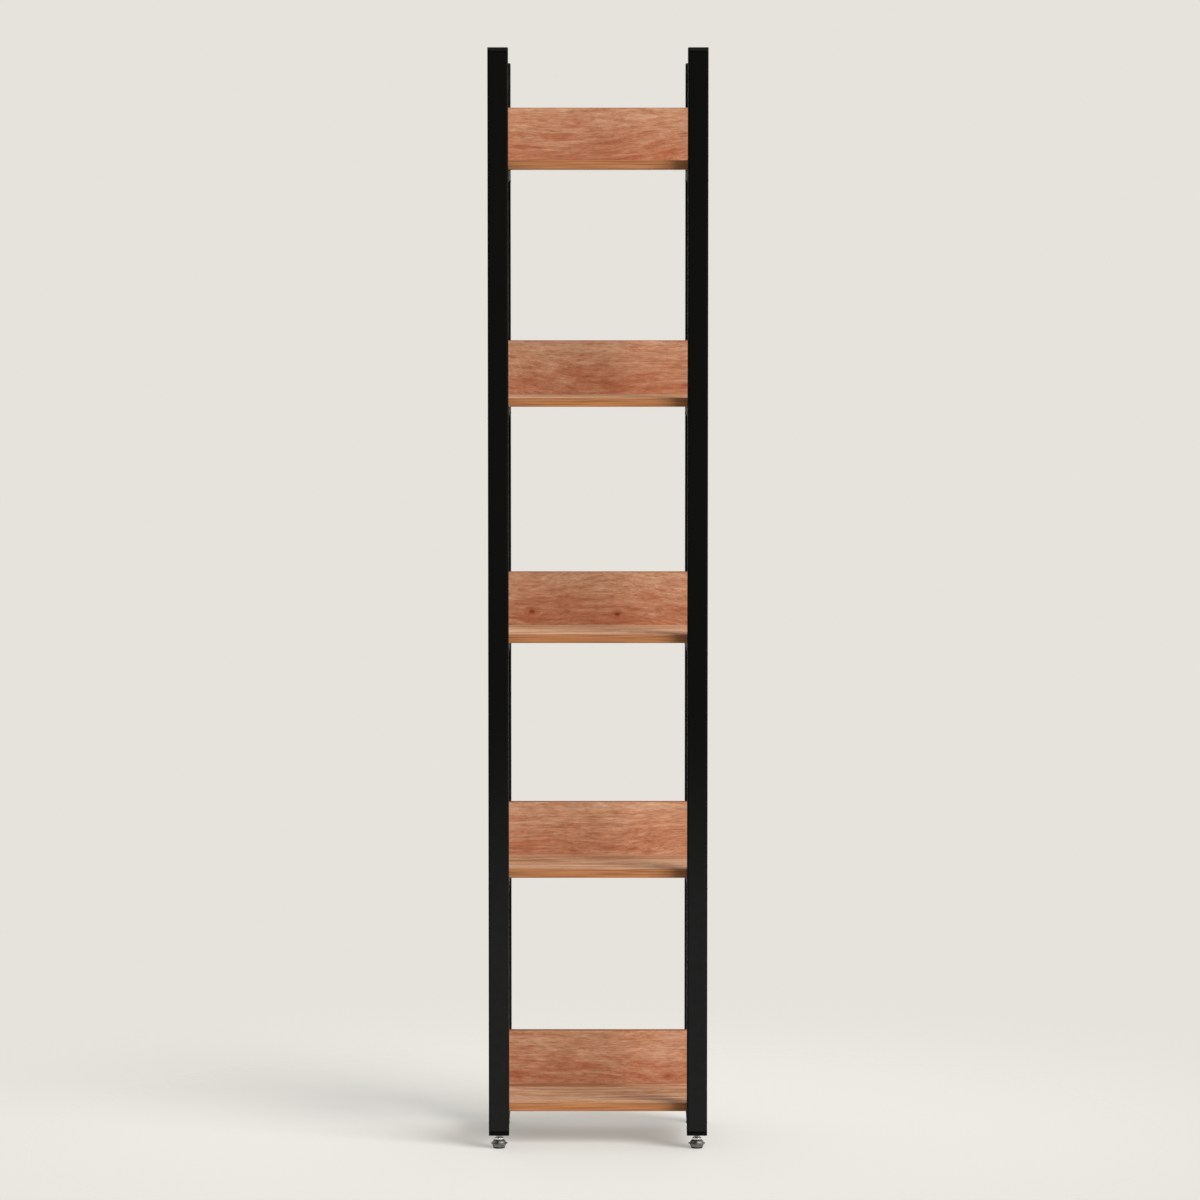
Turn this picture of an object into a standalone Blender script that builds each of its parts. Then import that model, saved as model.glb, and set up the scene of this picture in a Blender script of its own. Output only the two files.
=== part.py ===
"""Ladder bookcase: two welded tube side frames carry five L-shaped board shelves on screw-in levelling feet.

Metres, +Z up, front towards -Y. The origin is on the floor, under the middle of the footprint.
"""

import math

import bmesh
import bpy
from mathutils import Matrix

# Overall size
HEIGHT = 1.900  # floor to the top of the front posts' caps
WIDTH = 0.378  # over the outer faces of the posts
DEPTH = 0.300  # front face of the front posts to rear face of the rear posts
REAR_DROP = 0.020  # the rear posts end this much lower than the front ones
GAP = 0.0003  # room between two pieces that touch

# Square tube of the posts, flat tube of the rungs
POST = 0.035
TUBE_WALL = 0.0015
TUBE_RADIUS = 0.003
RUNG_HEIGHT = 0.020

# Boards
SHELF_COUNT = 5
SHELF_FIRST = 0.061  # floor to the underside of the lowest shelf
TOP_REACH = 0.207  # underside of the highest shelf to the top of the front posts
BOARD = 0.015
BACK_RISE = 0.094  # back board above the shelf's top face
BOARD_INSET = 0.001  # board ends stay this far inside the posts' outer faces
BOARD_ARRIS = 0.0005

# Plastic plugs in the tube ends
CAP_FLANGE = 0.006
CAP_PLUG = 0.018
CAP_SKIRT = 0.0025
CAP_EDGE = 0.001
INSERT_FLANGE = 0.005
INSERT_PLUG = 0.028

# Levelling foot: pad, turned base, stem with a spanner collar
PAD_DIAMETER = 0.0200
PAD_THICK = 0.002
BASE_HEIGHT = 0.0125
BASE_TOP = 0.0165
BASE_BODY = 0.0255
BASE_BRIM = 0.0295
BASE_BOTTOM = 0.0210
BRIM_RISE = 0.0055  # base underside to brim underside
BRIM_THICK = 0.0016
COLLAR_FLATS = 0.015
COLLAR_HEIGHT = 0.0035
PIN_DIAMETER = 0.008
PIN_LENGTH = 0.0065
STEM_DIAMETER = 0.010
STEM_LENGTH = 0.045
STEM_TIP = 0.001
STEM_SHOWN = 0.0054  # bare stem between collar and tube plug
TURN_CLEAR = 0.0003  # room around a turning pin or stem

# Screws up through the rungs into the shelves
SCREW_DIAMETER = 0.006
SCREW_HEAD = 0.012
SCREW_HEAD_HEIGHT = 0.003
SCREW_BITE = 0.65  # share of the board's thickness that the thread enters
SCREW_CLEAR = 0.0003

# Sizes that follow
FOOT_STACK = PAD_THICK + GAP + BASE_HEIGHT + GAP + COLLAR_HEIGHT
POST_CLEAR = FOOT_STACK + STEM_SHOWN
TUBE_BOTTOM = POST_CLEAR + INSERT_FLANGE + GAP
BORE = POST - 2 * TUBE_WALL
BORE_RADIUS = max(TUBE_RADIUS - TUBE_WALL, 0.0005)
PLUG = BORE - 2 * GAP
POST_X = (WIDTH - POST) / 2
POST_Y = (DEPTH - POST) / 2
RUNG_LENGTH = DEPTH - 2 * POST - 2 * GAP
SHELF_PITCH = (HEIGHT - TOP_REACH - SHELF_FIRST) / (SHELF_COUNT - 1)
SHELF_FRONT = -DEPTH / 2 + POST + GAP
BACK_REAR = DEPTH / 2 - POST - GAP
BACK_FRONT = BACK_REAR - BOARD
SHELF_REAR = BACK_FRONT - GAP
BOARD_LENGTH = WIDTH - 2 * BOARD_INSET
SCREW_REACH = SCREW_BITE * BOARD + GAP + RUNG_HEIGHT + GAP

SIDES = {"left": -1, "right": 1}
ROWS = {"front": -1, "rear": 1}


for old in list(bpy.data.objects):
    bpy.data.objects.remove(old, do_unlink=True)

bookcase = bpy.data.collections.new("ladder_bookcase")
bpy.context.scene.collection.children.link(bookcase)
workshop = bpy.data.collections.new("cutters")
bpy.context.scene.collection.children.link(workshop)


def make_material(name, colour, roughness, metallic=0.0):
    material = bpy.data.materials.new(name)
    material.use_nodes = True
    shader = material.node_tree.nodes["Principled BSDF"]
    shader.inputs["Base Color"].default_value = (*colour, 1.0)
    shader.inputs["Roughness"].default_value = roughness
    shader.inputs["Metallic"].default_value = metallic
    return material


POWDER_COAT = make_material("powder_coat", (0.011, 0.011, 0.011), 0.45)
SHELF_BOARD = make_material("shelf_board", (0.45, 0.22, 0.12), 0.5)
BACK_BOARD = make_material("back_board", (0.43, 0.20, 0.11), 0.5)
BLACK_PLASTIC = make_material("black_plastic", (0.012, 0.012, 0.012), 0.55)
FOOT_STEEL = make_material("foot_steel", (0.30, 0.29, 0.28), 0.35, 1.0)
STEM_STEEL = make_material("stem_steel", (0.62, 0.61, 0.60), 0.25, 1.0)
PAD_RUBBER = make_material("pad_rubber", (0.02, 0.02, 0.02), 0.8)
SCREW_STEEL = make_material("screw_steel", (0.48, 0.46, 0.42), 0.35, 1.0)


def draft(bm, name):
    """Working object from a bmesh."""
    mesh = bpy.data.meshes.new(name)
    bm.to_mesh(mesh)
    bm.free()
    obj = bpy.data.objects.new(name, mesh)
    obj.hide_render = True
    obj.display_type = "WIRE"
    workshop.objects.link(obj)
    return obj


def runs_along(edge, axis):
    step = edge.verts[1].co - edge.verts[0].co
    return abs(step[axis]) > 0.9 * step.length


def block(name, size, centre, radius=0.0, axis=None, segments=3):
    """Box with its edges along one axis, or all of them, rounded."""
    bm = bmesh.new()
    place = Matrix.Translation(centre) @ Matrix.Diagonal((*size, 1.0))
    bmesh.ops.create_cube(bm, size=1.0, matrix=place)
    if radius:
        edges = [e for e in bm.edges if axis is None or runs_along(e, axis)]
        bmesh.ops.bevel(bm, geom=edges, offset=radius, segments=segments, profile=0.5, affect="EDGES")
    return draft(bm, name)


def soften_top(obj, radius):
    """Rounds the edges of the highest face."""
    bm = bmesh.new()
    bm.from_mesh(obj.data)
    top = max(v.co.z for v in bm.verts)
    edges = [e for e in bm.edges if all(v.co.z > top - 1e-6 for v in e.verts)]
    bmesh.ops.bevel(bm, geom=edges, offset=radius, segments=2, profile=0.5, affect="EDGES")
    bm.to_mesh(obj.data)
    bm.free()
    return obj


def rod(name, radius, start, end, steps, place=Matrix()):
    """Round bar along Z between two heights, moved by a matrix."""
    bm = bmesh.new()
    placed = place @ Matrix.Translation((0.0, 0.0, (start + end) / 2))
    size = {"radius1": radius, "radius2": radius, "depth": end - start}
    bmesh.ops.create_cone(bm, cap_ends=True, segments=steps, matrix=placed, **size)
    return draft(bm, name)


def turned(name, profile, steps):
    """Solid of revolution about Z from (radius, height) points, down its outer side."""
    bm = bmesh.new()
    points = [bm.verts.new((radius, 0.0, height)) for radius, height in profile]
    for start, end in zip(points, points[1:]):
        bm.edges.new((start, end))
    obj = draft(bm, name)
    screw = obj.modifiers.new("turn", "SCREW")
    screw.axis = "Z"
    screw.steps = steps
    screw.render_steps = steps
    screw.use_merge_vertices = True
    screw.merge_threshold = 0.00001
    return obj


def combine(obj, tool, operation):
    modifier = obj.modifiers.new(operation.lower(), "BOOLEAN")
    modifier.operation = operation
    modifier.solver = "EXACT"
    modifier.object = tool


def finished(obj, *tools):
    """Mesh of a working object with its modifiers applied; the drafts are cleared away."""
    bpy.context.view_layer.update()
    graph = bpy.context.evaluated_depsgraph_get()
    mesh = bpy.data.meshes.new_from_object(obj.evaluated_get(graph))
    for used in (obj, *tools):
        bpy.data.objects.remove(used, do_unlink=True)
    return mesh


def shade(mesh, degrees=35.0):
    mesh.shade_smooth()
    mesh.set_sharp_from_angle(angle=math.radians(degrees))


def add_part(name, mesh, material, location=(0.0, 0.0, 0.0), parent=None):
    obj = bpy.data.objects.new(name, mesh)
    obj.location = location
    obj.parent = parent
    if not mesh.materials:
        mesh.materials.append(material)
    bookcase.objects.link(obj)
    return obj


def square_tube(name, length):
    """Upright square tube standing on z = 0."""
    middle = (0.0, 0.0, length / 2)
    body = block(name, (POST, POST, length), middle, TUBE_RADIUS, axis=2)
    bore = block("bore", (BORE, BORE, length + 0.02), middle, BORE_RADIUS, axis=2)
    combine(body, bore, "DIFFERENCE")
    mesh = finished(body, bore)
    shade(mesh)
    return mesh


def rung_tube():
    """Flat tube along Y with its top face on z = 0 and a screw hole from top to bottom."""
    middle = (0.0, 0.0, -RUNG_HEIGHT / 2)
    body = block("rung", (POST, RUNG_LENGTH, RUNG_HEIGHT), middle, TUBE_RADIUS, axis=1)
    bore_size = (BORE, RUNG_LENGTH + 0.02, RUNG_HEIGHT - 2 * TUBE_WALL)
    bore = block("bore", bore_size, middle, BORE_RADIUS, axis=1)
    combine(body, bore, "DIFFERENCE")
    hole = rod("screw_hole", SCREW_DIAMETER / 2 + SCREW_CLEAR, -RUNG_HEIGHT - 0.01, 0.01, 12)
    combine(body, hole, "DIFFERENCE")
    mesh = finished(body, bore, hole)
    shade(mesh)
    return mesh


def top_cap():
    """Hollow plug with a square flange; the flange's underside is on z = 0."""
    flange = block("cap", (POST, POST, CAP_FLANGE), (0.0, 0.0, CAP_FLANGE / 2), TUBE_RADIUS, axis=2)
    soften_top(flange, CAP_EDGE)
    overlap = CAP_FLANGE / 3
    plug_size = (PLUG, PLUG, CAP_PLUG + overlap)
    plug = block("plug", plug_size, (0.0, 0.0, (overlap - CAP_PLUG) / 2), BORE_RADIUS, axis=2)
    room = PLUG - 2 * CAP_SKIRT
    hollow = block("hollow", (room, room, CAP_PLUG * 2), (0.0, 0.0, -CAP_PLUG), BORE_RADIUS, axis=2)
    combine(flange, plug, "UNION")
    combine(flange, hollow, "DIFFERENCE")
    mesh = finished(flange, plug, hollow)
    shade(mesh)
    return mesh


def foot_insert():
    """Plug for the lower tube end with a bore for the stem; the flange's top face is on z = 0."""
    centre = (0.0, 0.0, -INSERT_FLANGE / 2)
    flange = block("insert", (POST, POST, INSERT_FLANGE), centre, TUBE_RADIUS, axis=2)
    overlap = INSERT_FLANGE / 3
    plug_size = (PLUG, PLUG, INSERT_PLUG + overlap)
    plug = block("plug", plug_size, (0.0, 0.0, (INSERT_PLUG - overlap) / 2), BORE_RADIUS, axis=2)
    radius = STEM_DIAMETER / 2 + TURN_CLEAR
    bore = rod("stem_bore", radius, -INSERT_FLANGE - 0.01, INSERT_PLUG + 0.01, 24)
    combine(flange, plug, "UNION")
    combine(flange, bore, "DIFFERENCE")
    mesh = finished(flange, plug, bore)
    shade(mesh)
    return mesh


def shelf_board():
    """Shelf with its underside on z = 0 and a blind screw hole over each rung."""
    depth = SHELF_REAR - SHELF_FRONT
    centre = (0.0, (SHELF_FRONT + SHELF_REAR) / 2, BOARD / 2)
    board = block("shelf", (BOARD_LENGTH, depth, BOARD), centre, BOARD_ARRIS, segments=1)
    radius = SCREW_DIAMETER / 2 + SCREW_CLEAR
    holes = []
    for side in SIDES.values():
        place = Matrix.Translation((side * POST_X, 0.0, 0.0))
        hole = rod("screw_hole", radius, -0.01, SCREW_BITE * BOARD + SCREW_CLEAR, 12, place)
        combine(board, hole, "DIFFERENCE")
        holes.append(hole)
    return finished(board, *holes)


def back_board():
    """Upright board behind a shelf, its lower edge on z = 0."""
    tall = BOARD + BACK_RISE
    centre = (0.0, (BACK_FRONT + BACK_REAR) / 2, tall / 2)
    return finished(block("back", (BOARD_LENGTH, BOARD, tall), centre, BOARD_ARRIS, segments=1))


def rung_screw():
    """Pan-head screw pointing up, the head's bearing face on z = 0."""
    radius = SCREW_DIAMETER / 2
    head = SCREW_HEAD / 2
    outline = [
        (0.0, SCREW_REACH),
        (radius, SCREW_REACH - radius),
        (radius, 0.0),
        (head, 0.0),
        (0.8 * head, -SCREW_HEAD_HEIGHT),
        (0.0, -SCREW_HEAD_HEIGHT),
    ]
    mesh = finished(turned("rung_screw", outline, 12))
    shade(mesh)
    return mesh


def foot_pad():
    """Round pad standing on z = 0."""
    radius = PAD_DIAMETER / 2
    edge = 0.2 * PAD_THICK
    outline = [(0.0, PAD_THICK), (radius, PAD_THICK), (radius, edge), (radius - edge, 0.0), (0.0, 0.0)]
    mesh = finished(turned("pad", outline, 24))
    shade(mesh)
    return mesh


def foot_base():
    """Turned base above the pad: a cone with a thin brim and a socket for the stem's pin."""
    low = PAD_THICK + GAP
    high = low + BASE_HEIGHT
    brim = low + BRIM_RISE
    socket = PIN_DIAMETER / 2 + TURN_CLEAR
    floor = high + GAP - PIN_LENGTH - TURN_CLEAR
    shoulder = 0.35 * (BASE_BODY - BASE_TOP) / 2
    outline = [
        (0.0, floor),
        (socket, floor),
        (socket, high),
        (BASE_TOP / 2, high),
        (BASE_TOP / 2 + shoulder, high - 0.15 * BASE_HEIGHT),
        (BASE_BODY / 2, brim + BRIM_THICK),
        (BASE_BRIM / 2, brim + 0.8 * BRIM_THICK),
        (BASE_BRIM / 2, brim + 0.2 * BRIM_THICK),
        (BASE_BODY / 2, brim),
        (BASE_BOTTOM / 2, low),
        (0.0, low),
    ]
    mesh = finished(turned("base", outline, 28))
    shade(mesh, 25.0)
    return mesh


def foot_stem():
    """Threaded stem with a spanner collar and a pin that turns in the base."""
    low = PAD_THICK + GAP + BASE_HEIGHT + GAP
    shoulder = low + COLLAR_HEIGHT
    top = shoulder + STEM_LENGTH
    stem = STEM_DIAMETER / 2
    pin = PIN_DIAMETER / 2
    step = low + COLLAR_HEIGHT / 2
    outline = [
        (0.0, top),
        (stem - STEM_TIP, top),
        (stem, top - STEM_TIP),
        (stem, step),
        (pin, step),
        (pin, low - PIN_LENGTH),
        (0.0, low - PIN_LENGTH),
    ]
    shaft = turned("stem", outline, 20)
    collar = rod("collar", COLLAR_FLATS / math.sqrt(3.0), low, shoulder, 6)
    combine(shaft, collar, "UNION")
    mesh = finished(shaft, collar)
    shade(mesh)
    return mesh


# Side frames, with the plugs in their tube ends
tube_top = {"front": HEIGHT - CAP_FLANGE - GAP, "rear": HEIGHT - REAR_DROP - CAP_FLANGE - GAP}
cap_mesh = top_cap()
insert_mesh = foot_insert()
rung_mesh = rung_tube()
for row, front_or_rear in ROWS.items():
    post_mesh = square_tube("post_" + row, tube_top[row] - TUBE_BOTTOM)
    for side, left_or_right in SIDES.items():
        x = left_or_right * POST_X
        y = front_or_rear * POST_Y
        corner = row + "_" + side
        add_part("post_" + corner, post_mesh, POWDER_COAT, (x, y, TUBE_BOTTOM))
        add_part("cap_" + corner, cap_mesh, BLACK_PLASTIC, (x, y, tube_top[row] + GAP))
        add_part("insert_" + corner, insert_mesh, BLACK_PLASTIC, (x, y, POST_CLEAR + INSERT_FLANGE))

# Shelves on their rungs
shelf_mesh = shelf_board()
back_mesh = back_board()
screw_mesh = rung_screw()
for level in range(SHELF_COUNT):
    underside = SHELF_FIRST + level * SHELF_PITCH
    bearing = underside - GAP - RUNG_HEIGHT - GAP
    number = str(level + 1)
    add_part("shelf_" + number, shelf_mesh, SHELF_BOARD, (0.0, 0.0, underside))
    add_part("back_board_" + number, back_mesh, BACK_BOARD, (0.0, 0.0, underside))
    for side, left_or_right in SIDES.items():
        x = left_or_right * POST_X
        add_part("rung_" + side + "_" + number, rung_mesh, POWDER_COAT, (x, 0.0, underside - GAP))
        add_part("shelf_screw_" + side + "_" + number, screw_mesh, SCREW_STEEL, (x, 0.0, bearing))

# Levelling feet, each on an empty that marks its screw axis
pad_mesh = foot_pad()
base_mesh = foot_base()
stem_mesh = foot_stem()
for row, front_or_rear in ROWS.items():
    for side, left_or_right in SIDES.items():
        corner = row + "_" + side
        axis = bpy.data.objects.new("foot_axis_" + corner, None)
        axis.empty_display_size = POST
        axis.location = (left_or_right * POST_X, front_or_rear * POST_Y, 0.0)
        bookcase.objects.link(axis)
        add_part("foot_pad_" + corner, pad_mesh, PAD_RUBBER, parent=axis)
        add_part("foot_base_" + corner, base_mesh, FOOT_STEEL, parent=axis)
        add_part("foot_stem_" + corner, stem_mesh, STEM_STEEL, parent=axis)

bpy.context.view_layer.update()
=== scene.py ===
"""Ladder bookcase, dressed: grained boards on a black powder-coated frame with turned levelling feet."""

import math

import bmesh
import bpy
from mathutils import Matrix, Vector


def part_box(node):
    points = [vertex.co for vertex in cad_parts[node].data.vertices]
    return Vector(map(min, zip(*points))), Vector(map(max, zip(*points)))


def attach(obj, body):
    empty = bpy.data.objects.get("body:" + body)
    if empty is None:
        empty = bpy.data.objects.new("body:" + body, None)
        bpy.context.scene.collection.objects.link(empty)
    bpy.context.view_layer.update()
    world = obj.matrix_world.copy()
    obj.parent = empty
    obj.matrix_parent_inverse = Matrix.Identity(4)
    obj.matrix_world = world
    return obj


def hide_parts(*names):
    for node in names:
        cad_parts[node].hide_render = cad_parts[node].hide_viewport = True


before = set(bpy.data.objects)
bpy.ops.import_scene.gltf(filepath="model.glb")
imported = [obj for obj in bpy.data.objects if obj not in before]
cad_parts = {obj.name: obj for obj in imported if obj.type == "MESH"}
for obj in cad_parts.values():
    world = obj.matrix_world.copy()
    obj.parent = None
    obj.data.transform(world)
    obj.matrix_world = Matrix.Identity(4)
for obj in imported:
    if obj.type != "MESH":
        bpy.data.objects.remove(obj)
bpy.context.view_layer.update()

CORNERS = ("front_left", "front_right", "rear_left", "rear_right")
SIDES = {"left": -1, "right": 1}
ROWS = {"front": -1, "rear": 1}
LEVELS = range(1, 6)

# Where things are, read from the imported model
shelf_low, shelf_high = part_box("shelf_1")
post_low, post_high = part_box("post_front_right")
BOARD = shelf_high.z - shelf_low.z
FIRST = shelf_low.z
PITCH = (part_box("shelf_5")[0].z - FIRST) / (len(LEVELS) - 1)
POST = post_high.x - post_low.x
POST_X = (post_high.x + post_low.x) / 2
POST_Y = -(post_high.y + post_low.y) / 2
POST_BOTTOM = post_low.z
FRONT_TOP = post_high.z
REAR_DROP = FRONT_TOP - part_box("post_rear_right")[1].z

# Boards: light, middle and dark grain, pale flecks, edge band
SHELF_TONES = (
    (0.575, 0.350, 0.220),
    (0.450, 0.231, 0.132),
    (0.360, 0.161, 0.081),
    (0.655, 0.436, 0.296),
    (0.446, 0.183, 0.073),
)
BACK_TONES = (
    (0.520, 0.286, 0.172),
    (0.474, 0.229, 0.128),
    (0.360, 0.117, 0.054),
    (0.600, 0.384, 0.254),
    (0.330, 0.110, 0.044),
)
# red of the flame figure; near the shelf it is strengthened as painted bounce light from the shelf
FLAME_AND_PAINTED_BOUNCE_RED = (0.330, 0.096, 0.042)
PORE_BROWN = (0.17, 0.065, 0.032)
# How much paler each board is than the common tone, from the lowest level up
SHELF_PLANKS = (-0.09, -0.03, 0.12, 0.02, 0.02)
BACK_PLANKS = (0.04, 0.13, -0.05, 0.01, 0.02)
LEVEL_MARGIN = 0.02  # a level's grain begins this far under its shelf
LEVEL_SHIFT = 7.31  # how much further along the grain the next level is cut
EDGE_TURN = (0.55, 0.65)  # how squarely a face looks along an axis before it counts as an edge
EDGE_DARK = 0.58  # darkest line of the edge band against its lightest
EDGE_ALONG = 9.0  # how quickly the edge band's lines change along and across it
EDGE_ACROSS = 420.0

# Knots in the back boards: level from the floor, place along the board, height above the shelf, darkness
KNOTS = ((2, -0.117, 0.024, 0.85), (2, 0.034, 0.019, 0.95), (0, 0.124, 0.012, 0.35))
KNOT_SQUASH = 0.7  # a knot is longer along the board
KNOT_PULL = 0.75  # share by which the grain spreads round the knot
# Distances from a knot's middle at which its swing, core and halo begin and are full
KNOT_SWING = (0.016, 0.002)
KNOT_CORE = (0.0050, 0.0014)
KNOT_HALO = (0.015, 0.003)
KNOT_CORE_COLOUR = (0.150, 0.036, 0.012)
KNOT_HALO_COLOUR = (0.32, 0.080, 0.033)

# Powder coat
COAT_DARK = (0.0016, 0.0016, 0.0014)
COAT_LIGHT = (0.0027, 0.0027, 0.0024)
# dust and painted sheen: lighter coat low down, standing in for the pale floor's reflection
COAT_DUST_AND_SHEEN = (0.0108, 0.0108, 0.0108)
# painted shadow: near-black line at the tube ends, for the shade in the gaps at the cap and the insert
COAT_END_SHADOW = (0.0004, 0.0004, 0.0004)
COAT_RUBBED = (0.014, 0.014, 0.014)
DUST_AND_SHEEN_HEIGHT = (0.80, 0.32)  # dust and painted sheen begin below the first height and are full below the second

# Metals: dull and bright tone
BASE_STEEL = ((0.15, 0.146, 0.135), (0.25, 0.245, 0.23))
STEM_STEEL = ((0.80, 0.79, 0.77), (0.92, 0.91, 0.89))
SCREW_STEEL = ((0.44, 0.42, 0.37), (0.56, 0.54, 0.49))

# Levelling foot: sizes inside the boxes that the frame gives
ROUND = 72
PAD_TOP_RADIUS = 0.004  # innermost ring of the top, closed by a flat face
PAD_BOTTOM_RADIUS = 0.002  # innermost ring of the bottom
PAD_RIM = 0.004
PAD_EASE = 0.0005
PIN_RADIUS = 0.0040
PIN_LENGTH = 0.0065
PIN_TIP = ((0.0030, 0.0), (0.0036, 0.0001), (0.0040, 0.0005))  # radius, height over the pin's end
SOCKET_RADIUS = 0.0043
BASE_TOP_RADIUS = 0.00825
BASE_SHOULDER = ((0.0095, 0.0008), (0.0108, 0.0024))  # radius, depth below the top
BASE_BODY_RADIUS = 0.01275
BASE_BOTTOM_RADIUS = 0.0105
BASE_CENTRE_RADIUS = 0.0040  # innermost ring of the bottom
BASE_EASE = 0.0006
BRIM_RISE = 0.0055
BRIM_THICK = 0.0016
BRIM_EDGE = (0.0003, 0.0012)  # lower and upper end of the brim's outer edge
COLLAR_FLATS = 0.015
COLLAR_HEIGHT = 0.0035
# The collar's corners are turned off: largest radius, distance from the collar's end
COLLAR_CHAMFER = ((0.0071, 0.0), (0.0074, 0.00005), (0.0080, 0.0003), (0.0088, 0.0007))
NECK_RADIUS = 0.0045
STEM_END_RADIUS = 0.0038
THREAD_PITCH = 0.0015
THREAD_CORE = 0.0042
THREAD_DEPTH = 0.0008
THREAD_START = 0.0002
THREAD_ENDS = 0.0004
THREAD_FADE = 0.0012
RINGS_PER_TURN = 10

# Socket-head screws up through the rungs
SCREW_ROUND = 36
SCREW_RADIUS = 0.0030
SCREW_POINT_RADIUS = 0.0006
SCREW_POINT_LENGTH = 0.003
SCREW_HEAD_HEIGHT = 0.003
SCREW_HEAD = (  # radius, distance from the bearing face
    (0.0058, 0.0),
    (0.0060, 0.0002),
    (0.0060, 0.0009),
    (0.0056, 0.0018),
    (0.0049, 0.0024),
    (0.0039, 0.0028),
    (0.0030, 0.003),
)
HEX_FLATS = 0.004
HEX_DEPTH = 0.0018
HEX_POINT_RADIUS = 0.0006
HEX_POINT_DEPTH = 0.0022

# Covers over the screws that go through each back board into its shelf
COVER_ROUND = 40
COVER_PLACES = (-0.125, 0.0, 0.125)
COVER_SINK = 0.0001
COVER_DOME = (  # radius, height over the board
    (0.0060, 0.0),
    (0.0060, 0.0003),
    (0.0057, 0.0007),
    (0.0047, 0.0010),
    (0.0030, 0.00115),
    (0.0010, 0.0012),
)

# Weld beads round the rung ends
WELD_TOP = 0.0045  # the bead ends this far below the top of the rung
WELD_BEND = 0.003
WELD_SIDE_STEPS = 14
WELD_BEND_STEPS = 6
WELD_UNDER_STEPS = 24
WELD_ROUND = 14
WELD_TAPER = 4.0  # steps over which an end swells to the full bead
WELD_TIP = 0.25  # share of the full bead at its very end
WELD_SIDE_HEIGHT = 0.0005
WELD_UNDER_HEIGHT = 0.0021  # what the bead is higher below the rung than beside it
WELD_WIDTH = 0.0026
WELD_WAVER = 0.0003

# Studio
BACKGROUND = (0.791, 0.768, 0.716)
AMBIENT = (1.0, 0.99, 0.97)
AMBIENT_FRONT = 0.47
AMBIENT_BEHIND = 1.0
GLOSS_FRONT = 0.15  # what gloss sees of the background in front
FLOOR = (0.690, 0.690, 0.664)
FLOOR_SINK = 0.0002
FLOOR_ROUND = 64
FLOOR_RADII = (0.2, 0.5, 0.9, 1.4, 2.0)
FLOOR_FADE = (0.35, 1.7)
FLOOR_COVER = 0.62
KEY_SIDE = 48.0  # degrees to the right of the front
KEY_HEIGHT = 32.0  # degrees above the floor
KEY_SPREAD = 36.0
KEY_STRENGTH = 3.98
KEY_COLOUR = (1.0, 0.985, 0.96)
KEY_DISTANCE = 5.0

# Camera, as fitted to the photograph
PHOTO_PIXELS = 1200.0
FOCAL_PIXELS = 5403.2
SENSOR_WIDTH = 36.0
CAMERA_PLACE = (0.0035, -9.415, 1.623)
CAMERA_TIP = math.radians(4.129)


class Nodes:
    """Short hand for building one node tree."""

    def __init__(self, tree):
        self.tree = tree
        self.coords = tree.nodes.new("ShaderNodeTexCoord")

    def feed(self, socket, value):
        """Link a socket to another node's output, or set it to a constant."""
        if isinstance(value, bpy.types.NodeSocket):
            self.tree.links.new(value, socket)
        else:
            socket.default_value = value

    def maths(self, operation, *values):
        node = self.tree.nodes.new("ShaderNodeMath")
        node.operation = operation
        for socket, value in zip(node.inputs, values):
            self.feed(socket, value)
        return node.outputs[0]

    def add(self, a, b):
        return self.maths("ADD", a, b)

    def sub(self, a, b):
        return self.maths("SUBTRACT", a, b)

    def mul(self, a, b):
        return self.maths("MULTIPLY", a, b)

    def size(self, value):
        return self.maths("ABSOLUTE", value)

    def split(self, vector):
        node = self.tree.nodes.new("ShaderNodeSeparateXYZ")
        self.feed(node.inputs[0], vector)
        return node.outputs[0], node.outputs[1], node.outputs[2]

    def join(self, x, y, z):
        node = self.tree.nodes.new("ShaderNodeCombineXYZ")
        for socket, value in zip(node.inputs, (x, y, z)):
            self.feed(socket, value)
        return node.outputs[0]

    def noise(self, vector, scale=1.0, detail=2.0, roughness=0.5):
        node = self.tree.nodes.new("ShaderNodeTexNoise")
        self.feed(node.inputs["Vector"], vector)
        node.inputs["Scale"].default_value = scale
        node.inputs["Detail"].default_value = detail
        node.inputs["Roughness"].default_value = roughness
        return node.outputs[0]

    def step(self, value, start, end, low=0.0, high=1.0, kind="SMOOTHSTEP"):
        """Change from low to high as value goes from start to end."""
        node = self.tree.nodes.new("ShaderNodeMapRange")
        node.interpolation_type = kind
        self.feed(node.inputs["Value"], value)
        for name, number in zip(("From Min", "From Max", "To Min", "To Max"), (start, end, low, high)):
            node.inputs[name].default_value = number
        return node.outputs[0]

    def blend(self, factor, a, b, mode="MIX"):
        node = self.tree.nodes.new("ShaderNodeMix")
        node.data_type = "RGBA"
        node.blend_type = mode
        self.feed(node.inputs[0], factor)
        for socket, colour in ((node.inputs[6], a), (node.inputs[7], b)):
            self.feed(socket, (*colour, 1.0) if isinstance(colour, tuple) else colour)
        return node.outputs[2]

    def bump(self, height, strength, distance, normal=None):
        node = self.tree.nodes.new("ShaderNodeBump")
        node.inputs["Strength"].default_value = strength
        node.inputs["Distance"].default_value = distance
        self.feed(node.inputs["Height"], height)
        if normal is not None:
            self.feed(node.inputs["Normal"], normal)
        return node.outputs[0]


class Surface(Nodes):
    """Node tree of one material, with its shader, the place on the piece and the way a face looks."""

    def __init__(self, name):
        self.material = bpy.data.materials.new(name)
        self.material.use_nodes = True
        super().__init__(self.material.node_tree)
        self.shader = self.tree.nodes["Principled BSDF"]
        self.place = self.coords.outputs["Object"]
        self.facing = self.coords.outputs["Normal"]

    def set(self, name, value):
        self.feed(self.shader.inputs[name], value)


def scaled(colour, factor):
    """Colour times a factor."""
    return tuple(factor * c for c in colour)


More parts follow.
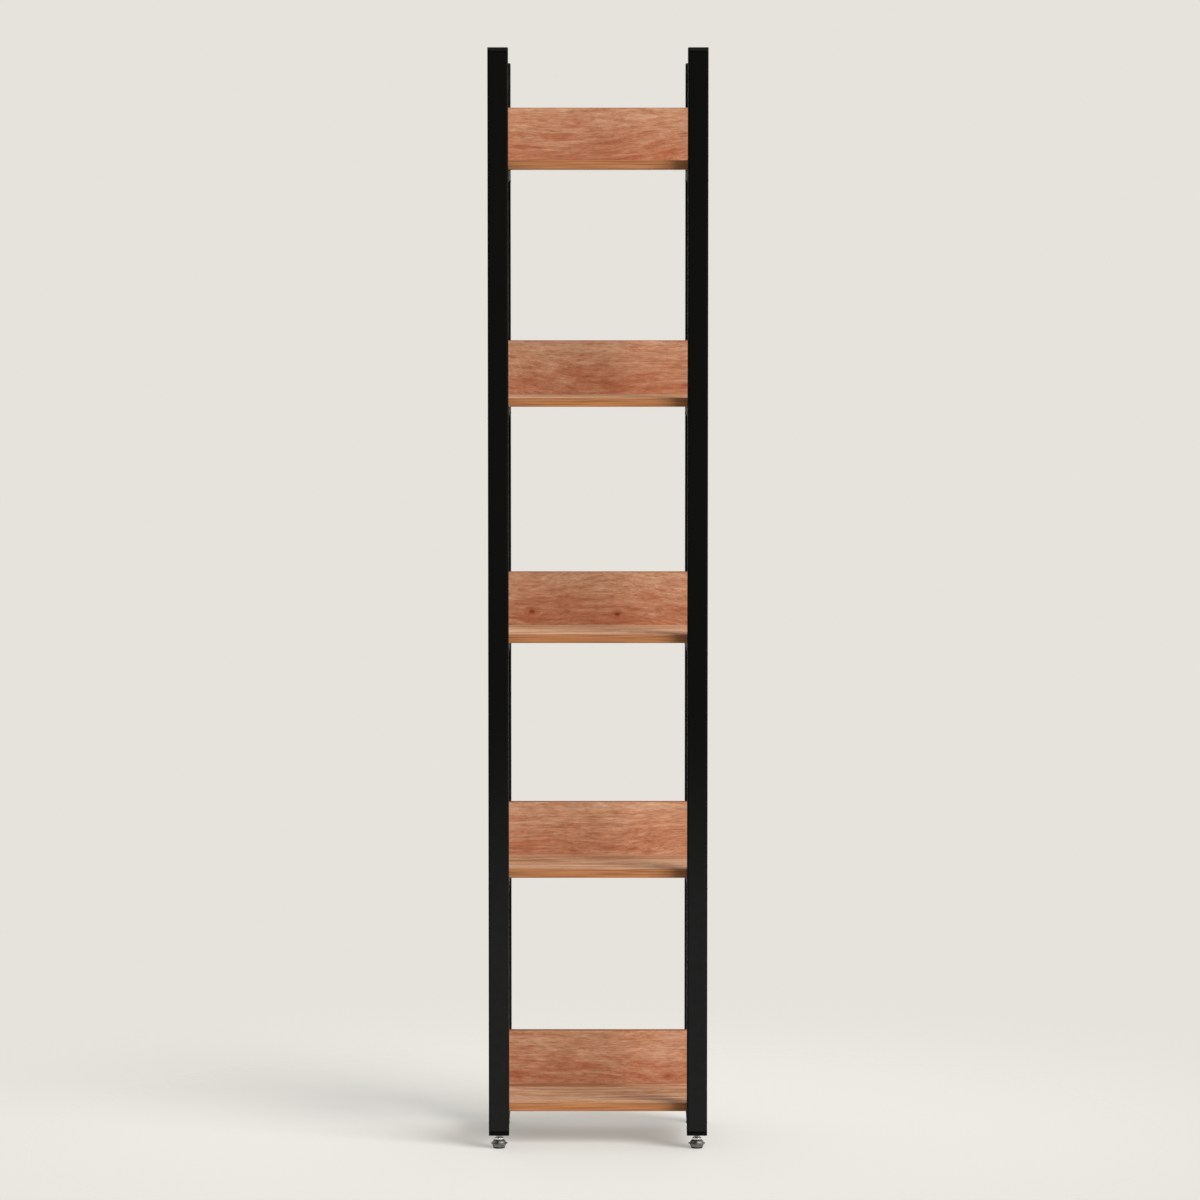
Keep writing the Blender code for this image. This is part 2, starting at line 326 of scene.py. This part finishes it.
def shaded(n, base, shade):
    """Colour made paler or darker by a share, most in blue and least in red."""
    tint = n.join(n.add(1.0, n.mul(shade, 0.75)), n.add(1.0, shade), n.add(1.0, n.mul(shade, 1.15)))
    return n.blend(1.0, base, tint, "MULTIPLY")


def round_knots(n, x, height, level, wander, knots):
    """The grain's wander with its swing round the knots, and how near their cores and halos are."""
    core = halo = None
    for knot_level, knot_x, knot_height, darkness in knots:
        along = n.mul(n.sub(x, knot_x), KNOT_SQUASH)
        across = n.sub(height, knot_height)
        away = n.size(n.sub(level, float(knot_level)))
        reach = n.maths("SQRT", n.add(n.mul(along, along), n.mul(across, across)))
        reach = n.add(reach, away)
        wander = n.sub(wander, n.mul(across, n.step(reach, *KNOT_SWING, 0.0, KNOT_PULL)))
        near = n.step(reach, *KNOT_CORE, 0.0, darkness)
        wide = n.step(reach, *KNOT_HALO)
        core = near if core is None else n.maths("MAXIMUM", core, near)
        halo = wide if halo is None else n.maths("MAXIMUM", halo, wide)
    return wander, core, halo


def banded(n, colour, band, shift, edges_up):
    """Colour with the banded edges, which have a straighter, more orange grain of their own."""
    x, y, z = n.split(n.place)
    turn = n.split(n.facing)
    end = n.step(n.size(turn[0]), *EDGE_TURN)
    edge = n.maths("MAXIMUM", end, n.step(n.size(turn[2 if edges_up else 1]), *EDGE_TURN))
    along = n.add(n.mul(x, n.sub(1.0, end)), n.mul(z if edges_up else y, end))
    across = n.mul(y if edges_up else z, EDGE_ACROSS)
    lines = n.noise(n.join(n.add(n.mul(along, EDGE_ALONG), shift), across, 0.0), detail=2.0)
    banding = n.blend(n.step(lines, 0.32, 0.68), band, scaled(band, EDGE_DARK))
    return n.blend(edge, colour, banding)


def board_material(name, seed, tones, planks, edges_up, stretch, streaky, ribboned, knots=()):
    """Grained board with edge band; every level cuts another part of the same endless grain."""
    light, middle, dark, fleck, band = tones
    n = Surface(name)
    x, y, z = n.split(n.place)
    level = n.maths("FLOOR", n.mul(n.sub(z, FIRST - LEVEL_MARGIN), 1.0 / PITCH))
    height = n.sub(n.sub(z, FIRST + BOARD), n.mul(level, PITCH))
    shift = n.add(n.mul(level, LEVEL_SHIFT), seed)

    # slow wander and lean of the grain, and its swing round the knots
    wander = n.noise(n.join(n.add(n.mul(x, 3.2), shift), n.mul(y, 5.0), n.mul(height, 5.0)), detail=1.0)
    wander = n.mul(n.sub(wander, 0.5), 0.07)
    lean = n.mul(n.sub(n.noise(n.join(n.mul(shift, 3.1), 0.5, 0.5), detail=0.0), 0.5), 0.45)
    wander = n.add(wander, n.mul(x, lean))
    wander, core, halo = round_knots(n, x, height, level, wander, knots)
    depth = n.add(y, wander)
    rise = n.add(height, wander)

    def grain(length, width, offset, **kinds):
        along = n.add(n.mul(x, 1.0 / (stretch * length)), n.mul(shift, offset))
        return n.noise(n.join(along, n.mul(depth, 1.0 / width), n.mul(rise, 1.0 / width)), **kinds)

    bands = grain(length=0.26, width=0.022, offset=1.0, detail=3.0, roughness=0.55)
    mottle = grain(length=0.024, width=0.0105, offset=1.6, detail=2.0, roughness=0.55)
    flecks = grain(length=0.015, width=0.0044, offset=2.3, detail=3.0, roughness=0.65)
    speckle = grain(length=0.0070, width=0.0032, offset=6.4, detail=2.0, roughness=0.6)
    streaks = grain(length=0.110, width=0.0030, offset=4.2, detail=2.0, roughness=0.55)
    flames = grain(length=0.075, width=0.0070, offset=7.9, detail=2.0, roughness=0.5)
    ribbons = grain(length=0.42, width=0.019, offset=9.3, detail=1.0)
    fibres = grain(length=0.016, width=0.0008, offset=3.7, detail=2.0)
    pores = n.step(grain(length=0.007, width=0.0005, offset=5.1, detail=1.0), 0.60, 0.70)

    colour = n.blend(n.step(bands, 0.34, 0.66), light, middle)
    colour = n.blend(n.step(mottle, 0.50, 0.72, 0.0, 0.50), colour, dark)
    colour = n.blend(n.step(mottle, 0.48, 0.30, 0.0, 0.40), colour, fleck)
    if knots:
        # painted shade and bounce light: darker and redder down by the shelf, where the shelf shades the
        # board and casts its colour onto it
        low = n.add(height, n.mul(n.sub(bands, 0.5), 0.09))
        colour = n.blend(n.step(low, 0.078, 0.012, 0.0, 0.60), colour, dark)
        # the flame figure is grain; its strength rising towards the shelf is painted bounce light
        red = n.mul(n.step(flames, 0.50, 0.66, 0.0, 0.62), n.step(low, 0.090, 0.020, 0.25, 1.0))
        colour = n.blend(red, colour, FLAME_AND_PAINTED_BOUNCE_RED)
        colour = n.blend(n.step(flames, 0.46, 0.32, 0.0, 0.30), colour, fleck)
    for layer, strength in ((flecks, 1.0), (speckle, 0.8), (streaks, streaky), (ribbons, ribboned)):
        paler = n.step(layer, 0.46, 0.28, 0.0, 0.16 * strength)
        darker = n.step(layer, 0.50, 0.70, 0.0, 0.24 * strength)
        colour = shaded(n, colour, n.sub(paler, darker))
    plank = 0.0
    for i, share in enumerate(planks):
        plank = n.add(plank, n.mul(n.maths("COMPARE", level, float(i), 0.5), share))
    colour = shaded(n, colour, plank)
    if knots:
        colour = n.blend(n.mul(halo, 0.60), colour, KNOT_HALO_COLOUR)
        colour = n.blend(core, colour, KNOT_CORE_COLOUR)
    fine = n.step(fibres, 0.28, 0.72, 0.84, 1.12)
    colour = n.blend(1.0, colour, n.join(fine, fine, fine), "MULTIPLY")
    colour = n.blend(n.mul(pores, 0.45), colour, PORE_BROWN)

    n.set("Base Color", banded(n, colour, band, shift, edges_up))
    n.set("Roughness", n.add(n.step(flecks, 0.2, 0.8, 0.54, 0.66), n.mul(pores, 0.10)))
    n.set("Specular IOR Level", 0.10)
    relief = n.sub(n.mul(fibres, 0.35), pores)
    n.set("Normal", n.bump(relief, 0.22, 0.00012))
    return n.material


def powder_coat():
    """Satin black coat: orange peel, fine grit, dust and painted sheen lighter low down, a painted shadow
    line at the tube ends, corners rubbed a little smoother.
    """
    n = Surface("coat_black")
    x, y, z = n.split(n.place)
    cloud = n.noise(n.place, 5.0, 2.0)
    peel = n.noise(n.place, 620.0, 2.0, 0.55)
    grit = n.noise(n.place, 3400.0, 1.0)
    across = n.size(n.sub(n.size(x), POST_X))
    deep = n.size(n.sub(n.size(y), POST_Y))
    inside = n.maths("MINIMUM", across, deep)
    corner = n.step(inside, POST / 2 - 0.0026, POST / 2 - 0.0008)
    rub = n.mul(corner, n.step(n.noise(n.place, 26.0, 3.0, 0.6), 0.46, 0.66))
    # dust and painted sheen: the coat grows lighter towards the bottom, standing in for the pale floor's
    # reflection, less so at the corners
    dust_and_sheen = n.mul(n.step(z, *DUST_AND_SHEEN_HEIGHT), n.step(n.noise(n.place, 90.0, 3.0, 0.6), 0.2, 0.8, 0.8, 1.0))
    dust_and_sheen = n.mul(dust_and_sheen, n.step(inside, POST / 2 - 0.0005, POST / 2 - 0.0040, 0.35, 1.0))
    drop = n.mul(n.step(y, -0.01, 0.01), REAR_DROP)
    ends = n.maths("MINIMUM", n.sub(z, POST_BOTTOM), n.sub(n.sub(FRONT_TOP, drop), z))

    colour = n.blend(cloud, COAT_DARK, COAT_LIGHT)
    colour = n.blend(dust_and_sheen, colour, COAT_DUST_AND_SHEEN)
    # painted shadow: the coat goes near-black within a few millimetres of each tube end, for the shade in
    # the gaps at the cap and the insert
    colour = n.blend(n.step(ends, 0.0035, 0.0010), colour, COAT_END_SHADOW)
    n.set("Base Color", n.blend(n.mul(rub, 0.3), colour, COAT_RUBBED))
    rough = n.add(n.step(cloud, 0.3, 0.7, 0.52, 0.60), n.mul(n.sub(grit, 0.5), 0.10))
    n.set("Roughness", n.sub(rough, n.mul(rub, 0.08)))
    n.set("Specular IOR Level", 0.05)
    n.set("Normal", n.bump(grit, 0.10, 0.00004, n.bump(peel, 0.18, 0.00010)))
    return n.material


def moulded_plastic(name, tone):
    """Black plastic with a spark-eroded grain."""
    n = Surface(name)
    grey = (tone, tone, tone)
    cloud = n.noise(n.place, 60.0, 3.0, 0.6)
    grain = n.noise(n.place, 1900.0, 3.0, 0.6)
    n.set("Base Color", n.blend(cloud, scaled(grey, 0.7), scaled(grey, 1.3)))
    n.set("Roughness", n.add(n.step(cloud, 0.3, 0.7, 0.60, 0.70), n.mul(n.sub(grain, 0.5), 0.12)))
    n.set("Specular IOR Level", 0.08)
    n.set("Normal", n.bump(grain, 0.35, 0.00008))
    return n.material


def turned_steel(name, tones, smooth, rough, lines, hollow_darkening=None):
    """Lathe-turned metal about the piece's own Z axis: fine tool lines, cloudy plating, darker in the
    hollows near the axis.
    """
    dull, bright = tones
    n = Surface(name)
    x, y, z = n.split(n.place)
    radius = n.maths("SQRT", n.add(n.mul(x, x), n.mul(y, y)))
    tool = n.noise(n.join(n.mul(radius, lines), n.mul(z, lines), 0.0), detail=2.0, roughness=0.6)
    cloud = n.noise(n.place, 260.0, 3.0, 0.6)
    colour = n.blend(n.step(cloud, 0.30, 0.70), dull, bright)
    colour = n.blend(n.step(tool, 0.55, 0.75, 0.0, 0.30), colour, scaled(dull, 0.6))
    # darker towards the axis: the stem's thread roots and the screw's hexagon socket
    if hollow_darkening:
        colour = n.blend(n.step(radius, *hollow_darkening, 0.0, 0.55), colour, scaled(dull, 0.35))
    n.set("Base Color", colour)
    n.set("Metallic", 1.0)
    n.set("Roughness", n.add(n.step(cloud, 0.3, 0.7, smooth, rough), n.mul(n.sub(tool, 0.5), 0.12)))
    n.set("Normal", n.bump(tool, 0.20, 0.00005))
    return n.material


def pad_rubber():
    """Dark matt rubber of the pads under the feet."""
    n = Surface("rubber_dark")
    cloud = n.noise(n.place, 420.0, 3.0, 0.6)
    grain = n.noise(n.place, 2600.0, 2.0)
    n.set("Base Color", n.blend(cloud, (0.014, 0.014, 0.013), (0.026, 0.025, 0.023)))
    n.set("Roughness", n.step(grain, 0.3, 0.7, 0.72, 0.88))
    n.set("Normal", n.bump(grain, 0.30, 0.00006))
    return n.material


def cover_plastic():
    """Wood-coloured plastic of the screw covers on the back."""
    n = Surface("plastic_brown")
    cloud = n.noise(n.place, 90.0, 3.0, 0.6)
    grain = n.noise(n.place, 2200.0, 2.0)
    n.set("Base Color", n.blend(cloud, (0.33, 0.145, 0.072), (0.39, 0.180, 0.095)))
    n.set("Roughness", n.step(grain, 0.3, 0.7, 0.48, 0.60))
    n.set("Specular IOR Level", 0.35)
    n.set("Normal", n.bump(grain, 0.25, 0.00006))
    return n.material


def pale_paint():
    """Floor that fades out away from the bookcase."""
    n = Surface("floor_pale")
    x, y = n.split(n.place)[:2]
    distance = n.maths("SQRT", n.add(n.mul(x, x), n.mul(y, y)))
    n.set("Base Color", n.blend(n.noise(n.place, 40.0, 3.0), FLOOR, scaled(FLOOR, 0.985)))
    n.set("Roughness", 0.9)
    n.set("Specular IOR Level", 0.0)
    n.set("Alpha", n.step(distance, *FLOOR_FADE, FLOOR_COVER, 0.0))
    return n.material


SHELF_MATERIAL = board_material(
    "board_shelf",
    seed=1.7,
    tones=SHELF_TONES,
    planks=SHELF_PLANKS,
    edges_up=False,
    stretch=3.5,
    streaky=0.9,
    ribboned=1.60,
)
BACK_MATERIAL = board_material(
    "board_back",
    seed=4.9,
    tones=BACK_TONES,
    planks=BACK_PLANKS,
    edges_up=True,
    stretch=1.8,
    streaky=0.40,
    ribboned=0.15,
    knots=KNOTS,
)
COAT_MATERIAL = powder_coat()
# painted light and shade: cap and insert are the same black plastic, the cap toned lighter for the light
# on the post's top and the insert darker for the shade at the post's foot
CAP_MATERIAL = moulded_plastic("plastic_cap", tone=0.0060)
INSERT_MATERIAL = moulded_plastic("plastic_insert", tone=0.0012)
BASE_MATERIAL = turned_steel("steel_turned", BASE_STEEL, smooth=0.40, rough=0.52, lines=2600.0)
STEM_MATERIAL = turned_steel(
    "steel_plated",
    STEM_STEEL,
    smooth=0.24,
    rough=0.36,
    lines=3200.0,
    hollow_darkening=(0.0050, 0.0041),
)
SCREW_MATERIAL = turned_steel(
    "steel_screw",
    SCREW_STEEL,
    smooth=0.28,
    rough=0.40,
    lines=3200.0,
    hollow_darkening=(0.0026, 0.0018),
)
RUBBER_MATERIAL = pad_rubber()
COVER_MATERIAL = cover_plastic()

# Finish of each node by the start of its name; the screws come before the shelves
FINISHES = {
    "post_": COAT_MATERIAL,
    "rung_": COAT_MATERIAL,
    "shelf_screw_": SCREW_MATERIAL,
    "shelf_": SHELF_MATERIAL,
    "back_board_": BACK_MATERIAL,
    "cap_": CAP_MATERIAL,
    "insert_": INSERT_MATERIAL,
    "foot_base_": BASE_MATERIAL,
    "foot_stem_": STEM_MATERIAL,
    "foot_pad_": RUBBER_MATERIAL,
}


def dress_nodes():
    """Give every node of the frame its finish."""
    for name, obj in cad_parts.items():
        finish = next(FINISHES[start] for start in FINISHES if name.startswith(start))
        for place in obj.material_slots:
            place.material = finish


def add_piece(name, shells, material, body, location=(0.0, 0.0, 0.0), crease=35.0):
    """Piece from closed shells, each a list of rings of points that is capped at both ends."""
    bm = bmesh.new()
    for rings in shells:
        loops = [[bm.verts.new(point) for point in ring] for ring in rings]
        for lower, upper in zip(loops, loops[1:]):
            for i in range(len(lower)):
                j = (i + 1) % len(lower)
                bm.faces.new((lower[i], lower[j], upper[j], upper[i]))
        bm.faces.new(loops[0])
        bm.faces.new(loops[-1])
    bmesh.ops.recalc_face_normals(bm, faces=bm.faces)
    mesh = bpy.data.meshes.new(name)
    bm.to_mesh(mesh)
    bm.free()
    mesh.shade_smooth()
    mesh.set_sharp_from_angle(angle=math.radians(crease))
    mesh.materials.append(material)
    obj = bpy.data.objects.new(name, mesh)
    obj.location = location
    bpy.context.scene.collection.objects.link(obj)
    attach(obj, body)
    return obj


def centre_line(node):
    """Place of a node's upright axis, on the floor."""
    low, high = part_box(node)
    return ((low.x + high.x) / 2, (low.y + high.y) / 2, 0.0)


def circle(radius, height, steps):
    """Ring of points about Z; the radius may be a function of the angle."""
    points = []
    for i in range(steps):
        angle = 2.0 * math.pi * i / steps
        r = radius(angle) if callable(radius) else radius
        points.append((r * math.cos(angle), r * math.sin(angle), height))
    return points


def eased(points, size, steps=4):
    """Open outline with every inner corner rounded."""
    path = [points[0]]
    for before, corner, after in zip(points, points[1:], points[2:]):
        a, b, c = Vector(before), Vector(corner), Vector(after)
        start = b + (a - b).normalized() * min(size, (a - b).length * 0.45)
        end = b + (c - b).normalized() * min(size, (c - b).length * 0.45)
        for i in range(steps + 1):
            t = i / steps
            path.append(tuple((1 - t) ** 2 * start + 2 * t * (1 - t) * b + t * t * end))
    path.append(points[-1])
    return path


def hexagon(flats, turn=math.radians(30.0)):
    """Radius of a hexagon as a function of the angle."""
    sixth = math.pi / 3.0
    return lambda angle: flats / 2.0 / math.cos((angle - turn) % sixth - sixth / 2.0)


def clipped(shape, limit):
    """Radius of a shape whose corners are turned off at a limit."""
    return lambda angle: min(shape(angle), limit)


def thread(core, depth, pitch, height):
    """Radius at one height of a right-hand thread as a function of the angle."""

    def radius(angle):
        turn = (height / pitch - angle / (2.0 * math.pi)) % 1.0
        flank = abs(turn - 0.5) * 2.0
        return core + depth * min(1.0, max(0.0, (flank - 0.22) / 0.62))

    return radius


def foot_pad(corner, axis):
    """Rubber pad with an eased rim, which rides on the foot."""
    low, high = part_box("foot_pad_" + corner)
    radius = (high.x - low.x) / 2
    outline = [
        (PAD_TOP_RADIUS, high.z),
        (radius, high.z),
        (radius, low.z),
        (radius - PAD_RIM, low.z),
        (PAD_BOTTOM_RADIUS, low.z),
    ]
    rings = [circle(r, z, ROUND) for r, z in eased(outline, PAD_EASE)]
    pad = add_piece("pad_" + corner, [rings], RUBBER_MATERIAL, "foot_" + corner, axis)
    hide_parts("foot_pad_" + corner)


def foot_base(corner, axis):
    """Turned base with a thin brim and the socket for the stem's pin, which rides on the foot."""
    low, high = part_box("foot_base_" + corner)
    brim = low.z + BRIM_RISE
    radius = (high.x - low.x) / 2
    outline = [
        (SOCKET_RADIUS, high.z - PIN_LENGTH),
        (SOCKET_RADIUS, high.z),
        (BASE_TOP_RADIUS, high.z),
        *[(r, high.z - depth) for r, depth in BASE_SHOULDER],
        (BASE_BODY_RADIUS, brim + BRIM_THICK),
        (radius, brim + BRIM_EDGE[1]),
        (radius, brim + BRIM_EDGE[0]),
        (BASE_BODY_RADIUS, brim),
        (BASE_BOTTOM_RADIUS, low.z),
        (BASE_CENTRE_RADIUS, low.z),
    ]
    rings = [circle(r, z, ROUND) for r, z in eased(outline, BASE_EASE)]
    base = add_piece("base_" + corner, [rings], BASE_MATERIAL, "foot_" + corner, axis, 40.0)
    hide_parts("foot_base_" + corner)


def foot_stem(corner, axis):
    """Pin, chamfered spanner collar and threaded stem, which turn above the base."""
    low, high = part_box("foot_stem_" + corner)
    bottom = low.z + PIN_LENGTH
    shoulder = bottom + COLLAR_HEIGHT
    nut = hexagon(COLLAR_FLATS)
    rings = [circle(r, low.z + h, ROUND) for r, h in PIN_TIP]
    rings.append(circle(PIN_RADIUS, bottom, ROUND))
    for limit, h in COLLAR_CHAMFER:
        rings.append(circle(clipped(nut, limit), bottom + h, ROUND))
    for limit, h in reversed(COLLAR_CHAMFER):
        rings.append(circle(clipped(nut, limit), shoulder - h, ROUND))
    rings.append(circle(NECK_RADIUS, shoulder, ROUND))
    rings.append(circle(THREAD_CORE, shoulder + THREAD_START, ROUND))
    length = high.z - shoulder - THREAD_ENDS
    count = int(length / THREAD_PITCH * RINGS_PER_TURN)
    for i in range(1, count + 1):
        h = shoulder + THREAD_START + length * i / count
        fade = min(1.0, (h - shoulder) / THREAD_FADE, max(0.0, (high.z - h) / THREAD_FADE))
        rings.append(circle(thread(THREAD_CORE, THREAD_DEPTH * fade, THREAD_PITCH, h), h, ROUND))
    rings.append(circle(STEM_END_RADIUS, high.z, ROUND))
    stem = add_piece("stem_" + corner, [rings], STEM_MATERIAL, "stem_" + corner, axis, 50.0)
    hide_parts("foot_stem_" + corner)


def shelf_screw(side, level):
    """Screw with a domed head and a hexagon socket, up through a rung."""
    node = "shelf_screw_" + side + "_" + str(level)
    low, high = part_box(node)
    bearing = low.z + SCREW_HEAD_HEIGHT
    socket = hexagon(HEX_FLATS)
    outline = [
        (SCREW_POINT_RADIUS, high.z),
        (SCREW_RADIUS, high.z - SCREW_POINT_LENGTH),
        (SCREW_RADIUS, bearing),
        *[(r, bearing - h) for r, h in SCREW_HEAD],
        (socket, low.z),
        (socket, low.z + HEX_DEPTH),
        (HEX_POINT_RADIUS, low.z + HEX_POINT_DEPTH),
    ]
    rings = [circle(r, z, SCREW_ROUND) for r, z in outline]
    name = "screw_" + side + "_" + str(level)
    screw = add_piece(name, [rings], SCREW_MATERIAL, "frame", centre_line(node))
    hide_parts(node)


def screw_covers(level):
    """Domed covers over the screws on the rear of a back board, in line with its shelf."""
    low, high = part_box("back_board_" + str(level))
    shells = []
    for x in COVER_PLACES:
        rings = []
        for r, h in COVER_DOME:
            ring = circle(r, h, COVER_ROUND)
            rings.append([(x + a, high.y + c - COVER_SINK, low.z + BOARD / 2 + b) for a, b, c in ring])
        shells.append(rings)
    add_piece("screw_covers_" + str(level), shells, COVER_MATERIAL, "frame", crease=45.0)


def weld_path(half, bottom, top):
    """Points down one side of a rung end, below it and up the other, each with its way outwards."""
    path = []
    drop = top - bottom - WELD_TOP - WELD_BEND
    for i in range(WELD_SIDE_STEPS):
        path.append((half, top - WELD_TOP - drop * i / WELD_SIDE_STEPS, 1.0, 0.0))
    span = half - WELD_BEND
    for i in range(WELD_BEND_STEPS):
        a = math.pi / 2 * i / WELD_BEND_STEPS
        x = span + WELD_BEND * math.cos(a)
        z = bottom + WELD_BEND - WELD_BEND * math.sin(a)
        path.append((x, z, math.cos(a), -math.sin(a)))
    for i in range(WELD_UNDER_STEPS):
        path.append((span - span * i / WELD_UNDER_STEPS, bottom, 0.0, -1.0))
    other = [(0.0, bottom, 0.0, -1.0)] + path[:0:-1]
    return path + [(-x, z, -u, v) for x, z, u, v in other]


def weld_bead(row, side, level):
    """Bead along both sides of a rung end and below it; the top is ground flush under the board."""
    low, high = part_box("rung_" + side + "_" + str(level))
    path = weld_path((high.x - low.x) / 2, low.z, high.z)
    joint = ROWS[row] * (POST_Y - POST / 2)
    rings = []
    for i, (x, z, u, v) in enumerate(path):
        inwards = min(i, len(path) - 1 - i) / WELD_TAPER
        ripple = 0.045 * math.sin(i * 2.4 + level)
        wave = 0.03 * math.sin(i * 0.71 + 2.0 * level + SIDES[side])
        swell = (WELD_TIP + (1.0 - WELD_TIP) * min(1.0, inwards)) * (1.0 + ripple + wave)
        tall = (WELD_SIDE_HEIGHT + WELD_UNDER_HEIGHT * max(0.0, -v)) * swell
        wide = (WELD_WIDTH + WELD_WAVER * math.sin(i * 0.37 + level)) * swell
        ring = []
        for k in range(WELD_ROUND):
            a = 2.0 * math.pi * k / WELD_ROUND
            out = tall * math.cos(a)
            ring.append((SIDES[side] * POST_X + x + u * out, joint + wide * math.sin(a), z + v * out))
        rings.append(ring)
    name = "weld_" + row + "_" + side + "_" + str(level)
    add_piece(name, [rings], COAT_MATERIAL, "frame", crease=60.0)


def pale_floor():
    """Floor that takes the shadow near the bookcase and is gone where the background begins."""
    bm = bmesh.new()
    centre = bm.verts.new((0.0, 0.0, 0.0))
    last = None
    for radius in FLOOR_RADII:
        ring = [bm.verts.new(point) for point in circle(radius, 0.0, FLOOR_ROUND)]
        for i in range(FLOOR_ROUND):
            j = (i + 1) % FLOOR_ROUND
            if last is None:
                bm.faces.new((centre, ring[i], ring[j]))
            else:
                bm.faces.new((last[i], ring[i], ring[j], last[j]))
        last = ring
    mesh = bpy.data.meshes.new("floor")
    bm.to_mesh(mesh)
    bm.free()
    floor = bpy.data.objects.new("floor", mesh)
    floor.location = (0.0, 0.0, -FLOOR_SINK)
    bpy.context.scene.collection.objects.link(floor)
    mesh.materials.append(pale_paint())


def background(n, colour, strength):
    """Light of one colour from all round, as strong as the value fed to it."""
    node = n.tree.nodes.new("ShaderNodeBackground")
    n.feed(node.inputs["Color"], (*colour, 1.0))
    n.feed(node.inputs["Strength"], strength)
    return node.outputs[0]


def studio_world():
    """Pale background for what looks at it, and for the rest a soft light, stronger from behind."""
    world = bpy.data.worlds.new("studio")
    bpy.context.scene.world = world
    world.use_nodes = True
    world.node_tree.nodes.clear()
    n = Nodes(world.node_tree)
    away, up = n.split(n.coords.outputs["Generated"])[1:]
    rays = n.tree.nodes.new("ShaderNodeLightPath").outputs

    # gloss sees a dim background in front, above the floor
    front = n.mul(n.step(away, 0.1, -0.6), n.step(up, -0.16, -0.02))
    dimmed = n.mul(front, rays["Is Glossy Ray"])
    seen = background(n, BACKGROUND, n.step(dimmed, 0.0, 1.0, 1.0, GLOSS_FRONT, "LINEAR"))
    ambient = background(n, AMBIENT, n.step(away, -0.1, 0.6, AMBIENT_FRONT, AMBIENT_BEHIND))

    looked = n.maths("MAXIMUM", rays["Is Camera Ray"], rays["Is Glossy Ray"])
    looked = n.maths("MAXIMUM", looked, rays["Is Transmission Ray"])
    mix = n.tree.nodes.new("ShaderNodeMixShader")
    for socket, value in zip(mix.inputs, (looked, ambient, seen)):
        n.feed(socket, value)
    out = n.tree.nodes.new("ShaderNodeOutputWorld")
    n.feed(out.inputs["Surface"], mix.outputs[0])


def key_light():
    """One soft lamp, far off in front and to the right."""
    data = bpy.data.lights.new("key", "SUN")
    data.energy = KEY_STRENGTH
    data.angle = math.radians(KEY_SPREAD)
    data.color = KEY_COLOUR
    side = math.radians(KEY_SIDE)
    height = math.radians(KEY_HEIGHT)
    flat = math.cos(height)
    towards = Vector((math.sin(side) * flat, -math.cos(side) * flat, math.sin(height)))
    lamp = bpy.data.objects.new("key", data)
    lamp.location = towards * KEY_DISTANCE
    lamp.rotation_euler = (-towards).to_track_quat("-Z", "Y").to_euler()
    bpy.context.scene.collection.objects.link(lamp)


def photo_camera():
    """Camera far in front at a standing person's eye height, tipped down a little."""
    data = bpy.data.cameras.new("camera")
    data.sensor_width = SENSOR_WIDTH
    data.lens = FOCAL_PIXELS / PHOTO_PIXELS * SENSOR_WIDTH
    camera = bpy.data.objects.new("camera", data)
    camera.location = CAMERA_PLACE
    camera.rotation_euler = (math.pi / 2 - CAMERA_TIP, 0.0, 0.0)
    bpy.context.scene.collection.objects.link(camera)
    bpy.context.scene.camera = camera


dress_nodes()
for corner in CORNERS:
    axis = centre_line("foot_pad_" + corner)
    foot_pad(corner, axis)
    foot_base(corner, axis)
    foot_stem(corner, axis)
for level in LEVELS:
    for side in SIDES:
        shelf_screw(side, level)
for level in LEVELS:
    screw_covers(level)
for side in SIDES:
    for level in LEVELS:
        for row in ROWS:
            weld_bead(row, side, level)
pale_floor()
studio_world()
key_light()
photo_camera()
bpy.context.scene.view_settings.view_transform = "Standard"
